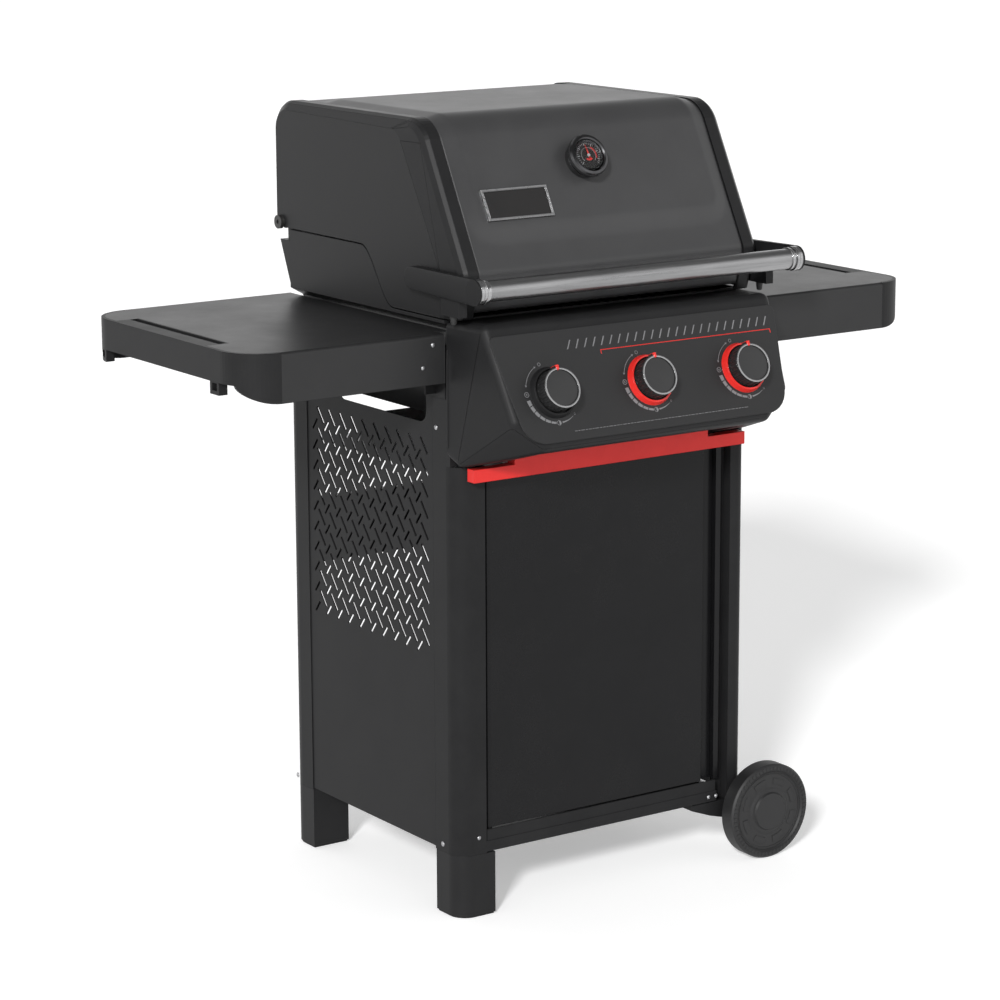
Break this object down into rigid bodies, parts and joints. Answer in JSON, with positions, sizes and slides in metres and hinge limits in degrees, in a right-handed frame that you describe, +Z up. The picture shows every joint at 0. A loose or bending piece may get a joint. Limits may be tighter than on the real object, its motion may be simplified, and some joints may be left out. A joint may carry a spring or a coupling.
{
  "type": "gas barbecue grill",
  "caption": "Cart-mounted gas barbecue grill with a hinged lid, control knobs, side tables, a cabinet with a door, a sliding grease tray and wheels.",
  "frame": {"origin": "on the floor under the middle of the grill's bounding box", "axes": "+X to the grill's right along its width, +Y to the back, +Z up; the controls face -Y"},
  "size_m": [1.27, 0.6866, 1.235],
  "materials": {
    "cart_black": "satin powder coat",
    "zinc_steel": "zinc plated",
    "dark_plastic": "fine grain",
    "knob_plastic": "semi gloss",
    "red_plastic": "gloss",
    "red_enamel": "satin enamel",
    "cast_black": "black coated casting",
    "grate_iron": "enamelled iron",
    "grey_enamel": "satin enamel",
    "tube_steel": "brushed",
    "manifold_alloy": "plain",
    "bezel_chrome": "polished"
  },
  "bodies": {
    "cart": {"post_front_left": "cart_black", "post_front_right": "cart_black", "post_back_left": "cart_black", "post_back_right": "cart_black", "side_panel_left": "cart_black", "side_panel_right": "cart_black", "base_panel": "cart_black", "front_rail": "cart_black", "rear_brace": "cart_black", "door_header": "cart_black", "tray_runner_left": "zinc_steel", "tray_runner_right": "zinc_steel", "foot_front_left": "dark_plastic", "foot_back_left": "dark_plastic", "wheel_bracket_front": "dark_plastic", "wheel_bracket_back": "dark_plastic", "axle": "zinc_steel", "cookbox": "cast_black", "burner_left": "tube_steel", "burner_middle": "tube_steel", "burner_right": "tube_steel", "heat_bars": "zinc_steel", "grate_left": "grate_iron", "grate_right": "grate_iron", "warming_rack": "tube_steel", "manifold": "manifold_alloy", "control_shell": "dark_plastic", "fascia": "grey_enamel", "bezel_left": "dark_plastic", "bezel_middle": "red_plastic", "bezel_right": "red_plastic", "table_top_left": "grey_enamel", "table_top_right": "grey_enamel", "table_end_left": "dark_plastic", "table_end_right": "dark_plastic", "table_bracket_left": "cart_black", "table_bracket_right": "cart_black"},
    "lid": {"lid_shroud": "grey_enamel", "lid_end_left": "cast_black", "lid_end_right": "cast_black", "lid_pin_left": "zinc_steel", "lid_pin_right": "zinc_steel", "handle_tube": "tube_steel", "handle_arm_left": "dark_plastic", "handle_arm_right": "dark_plastic", "thermometer": "bezel_chrome", "thermometer_dial": "dark_plastic", "badge_plate": "tube_steel"},
    "door_leaf": {"door": "cart_black"},
    "tray": {"grease_tray": "manifold_alloy", "tray_front": "red_enamel"},
    "front_wheel": {"wheel_front": "dark_plastic"},
    "back_wheel": {"wheel_back": "dark_plastic"},
    "left_push": {"washer_left": "zinc_steel"},
    "middle_push": {"washer_middle": "zinc_steel"},
    "right_push": {"washer_right": "zinc_steel"},
    "left_turn": {"knob_left": "knob_plastic"},
    "middle_turn": {"knob_middle": "knob_plastic"},
    "right_turn": {"knob_right": "knob_plastic"}
  },
  "joints": [
    {"name": "lid_hinge", "type": "hinge", "parent": "cart", "child": "lid", "pos_m": [0, 0.3001, 1.036], "axis": [-1, 0, 0], "range_deg": [0, 80]},
    {"name": "door_hinge", "type": "hinge", "parent": "cart", "child": "door_leaf", "pos_m": [-0.214, -0.1809, 0.414], "axis": [0, 0, -1], "range_deg": [0, 100]},
    {"name": "tray_slide", "type": "slide", "parent": "cart", "child": "tray", "axis": [0, -1, 0], "range_m": [0, 0.3]},
    {"name": "front_wheel_spin", "type": "hinge", "parent": "cart", "child": "front_wheel", "pos_m": [0.308, -0.2159, 0.079], "axis": [0, 1, 0], "continuous": true},
    {"name": "back_wheel_spin", "type": "hinge", "parent": "cart", "child": "back_wheel", "pos_m": [0.308, 0.3261, 0.079], "axis": [0, 1, 0], "continuous": true},
    {"name": "left_knob_push", "type": "slide", "parent": "cart", "child": "left_push", "axis": [0, 0.9085, -0.4179], "range_m": [0, 0.003], "stiffness_N_per_m": 600, "springref_m": -0.005},
    {"name": "left_knob_turn", "type": "hinge", "parent": "left_push", "child": "left_turn", "pos_m": [-0.18, -0.3049, 0.838], "axis": [0, -0.9085, 0.4179], "range_deg": [0, 235]},
    {"name": "middle_knob_push", "type": "slide", "parent": "cart", "child": "middle_push", "axis": [0, 0.9085, -0.4179], "range_m": [0, 0.003], "stiffness_N_per_m": 600, "springref_m": -0.005},
    {"name": "middle_knob_turn", "type": "hinge", "parent": "middle_push", "child": "middle_turn", "pos_m": [0, -0.3049, 0.838], "axis": [0, -0.9085, 0.4179], "range_deg": [0, 235]},
    {"name": "right_knob_push", "type": "slide", "parent": "cart", "child": "right_push", "axis": [0, 0.9085, -0.4179], "range_m": [0, 0.003], "stiffness_N_per_m": 600, "springref_m": -0.005},
    {"name": "right_knob_turn", "type": "hinge", "parent": "right_push", "child": "right_turn", "pos_m": [0.18, -0.3049, 0.838], "axis": [0, -0.9085, 0.4179], "range_deg": [0, 235]}
  ]
}
